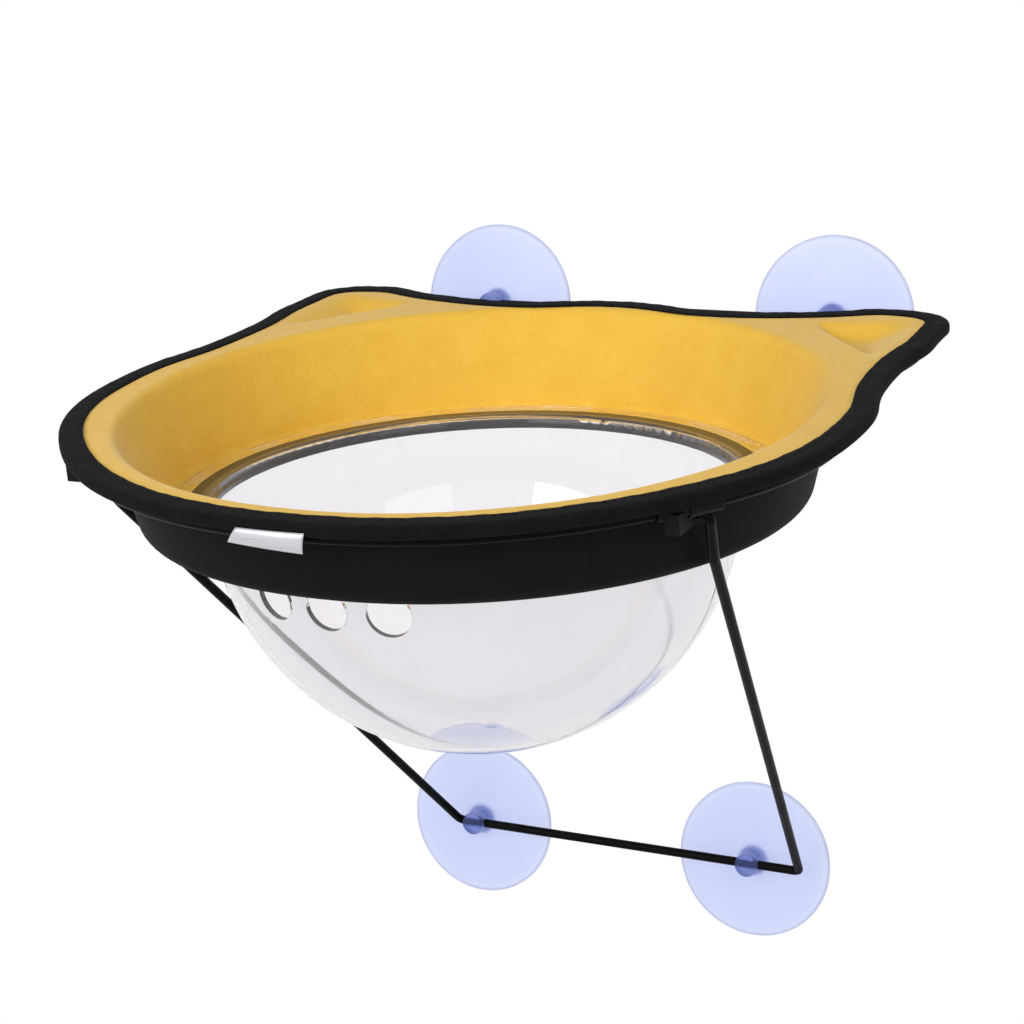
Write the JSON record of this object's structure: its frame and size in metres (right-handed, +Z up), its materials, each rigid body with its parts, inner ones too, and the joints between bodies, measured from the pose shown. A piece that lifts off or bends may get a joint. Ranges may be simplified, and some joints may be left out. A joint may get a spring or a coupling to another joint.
{
  "type": "window mounted cat perch",
  "caption": "Cat perch for a window: a plush-lined oval tray with a clear bowl hanging in its floor, on a bent wire support that holds to the glass with suction cups.",
  "frame": {"origin": "on the window glass, on the plane that halves the tray, level with the axis of the upper wire run", "axes": "+Y out of the room into the glass, +Z up, +X to the right as seen from the room"},
  "size_m": [0.4014, 0.3971, 0.3999],
  "materials": {
    "lining": "short mustard plush",
    "shell": "smooth moulded black felt",
    "binding": "woven black tape",
    "wire": "satin black paint",
    "clip": "matte black",
    "clear_bowl": "clear polished",
    "cup": "soft translucent pale blue"
  },
  "bodies": {
    "tray": {"tray_shell": "shell", "tray_lining": "lining", "rim_binding": "binding", "hole_binding": "binding", "ring_wire": "wire", "hinge_clip_left": "clip", "hinge_clip_right": "clip"},
    "bowl": {"bowl": "clear_bowl"},
    "prop": {"prop_wire": "wire"},
    "cup_upper_left_body": {"cup_upper_left": "cup"},
    "cup_upper_right_body": {"cup_upper_right": "cup"},
    "cup_lower_left_body": {"cup_lower_left": "cup"},
    "cup_lower_right_body": {"cup_lower_right": "cup"}
  },
  "joints": [
    {"name": "bowl_lift", "type": "slide", "parent": "tray", "child": "bowl", "axis": [0, -0.1426, 0.9898], "range_m": [0, 0.18]},
    {"name": "prop_fold", "type": "hinge", "parent": "tray", "child": "prop", "pos_m": [0, -0.30134, -0.05852], "axis": [-1, 0, 0], "range_deg": [0, 90]},
    {"name": "upper_left_cup_turn", "type": "hinge", "parent": "tray", "child": "cup_upper_left_body", "pos_m": [-0.0876, -0.01, 0], "axis": [1, 0, 0], "range_deg": [-60, 70]},
    {"name": "upper_right_cup_turn", "type": "hinge", "parent": "tray", "child": "cup_upper_right_body", "pos_m": [0.1145, -0.01, 0], "axis": [1, 0, 0], "range_deg": [-60, 70]},
    {"name": "lower_left_cup_turn", "type": "hinge", "parent": "prop", "child": "cup_lower_left_body", "pos_m": [-0.0964, -0.01, -0.3099], "axis": [1, 0, 0], "range_deg": [-75, 50]},
    {"name": "lower_right_cup_turn", "type": "hinge", "parent": "prop", "child": "cup_lower_right_body", "pos_m": [0.0768, -0.01, -0.3099], "axis": [1, 0, 0], "range_deg": [-75, 50]}
  ]
}
